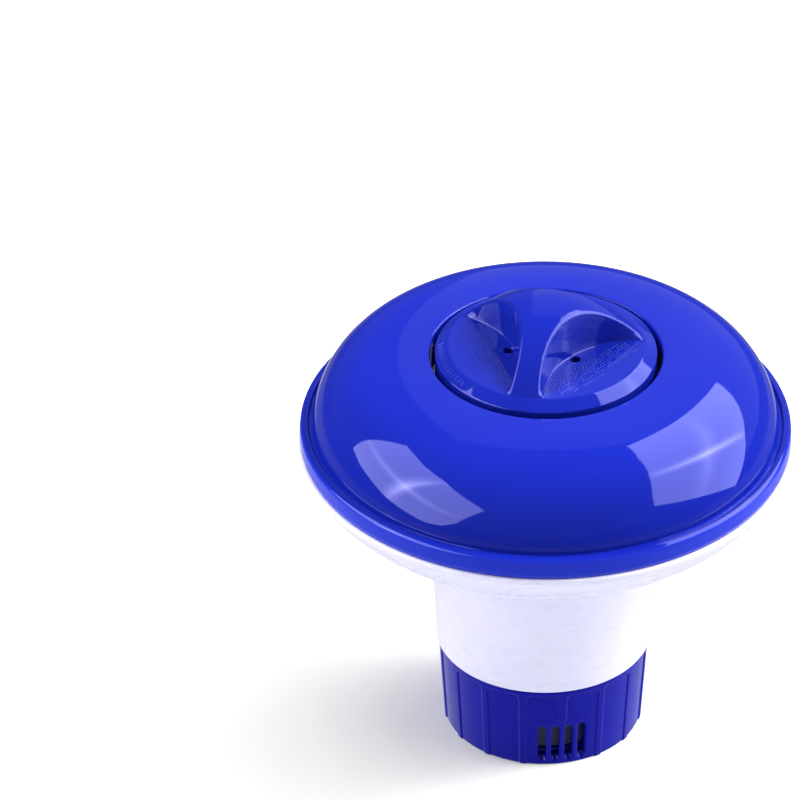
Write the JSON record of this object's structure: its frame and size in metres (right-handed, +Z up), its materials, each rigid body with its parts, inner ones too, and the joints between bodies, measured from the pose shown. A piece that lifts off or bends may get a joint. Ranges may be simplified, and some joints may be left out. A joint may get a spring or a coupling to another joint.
{
  "type": "floating chlorine dispenser",
  "caption": "Floating pool tablet dispenser with a domed float, a twist-off lid, a central tablet tube and an adjustable slotted vent collar.",
  "frame": {"origin": "centre of the vent collar's bottom rim, the ring the dispenser stands on", "axes": "+Z up along the axis shared by the float, tube, collar and lid; -Y is the front, towards the slots seen first"},
  "size_m": [0.1282, 0.1282, 0.1285],
  "materials": {
    "float_blue": "high gloss moulded polypropylene, saturated blue",
    "float_white": "semi-gloss moulded polypropylene, cool white",
    "tube_white": "satin moulded polypropylene, white",
    "lid_blue": "gloss moulded polypropylene, saturated blue",
    "liner_white": "satin moulded polypropylene, white",
    "seal_rubber": "matte black rubber cord",
    "collar_blue": "satin-gloss moulded polypropylene, deep blue",
    "grate_blue": "satin moulded polypropylene, deep blue"
  },
  "bodies": {
    "float": {"float_dome": "float_blue", "float_bowl": "float_white", "tablet_tube": "tube_white"},
    "seal": {"lid_seal": "seal_rubber"},
    "lid": {"lid_cap": "lid_blue", "lid_liner": "liner_white"},
    "grate": {"tablet_grate": "grate_blue"},
    "collar": {"vent_collar": "collar_blue"}
  },
  "joints": [
    {"name": "lid_lift", "type": "slide", "parent": "float", "child": "seal", "axis": [0, 0, 1], "range_m": [0, 0.06]},
    {"name": "lid_twist", "type": "hinge", "parent": "seal", "child": "lid", "pos_m": [0, 0, 0.1048], "axis": [0, 0, -1], "range_deg": [0, 45]},
    {"name": "collar_travel", "type": "slide", "parent": "float", "child": "grate", "axis": [0, 0, -1], "range_m": [0, 0.009]},
    {"name": "collar_turn", "type": "hinge", "parent": "grate", "child": "collar", "pos_m": [0, 0, 0.012], "axis": [0, 0, -1], "range_deg": [0, 90]}
  ],
  "couplings": [
    {"joint": "collar_travel", "follows": "collar_turn", "m_per_rad": 0.00572}
  ]
}
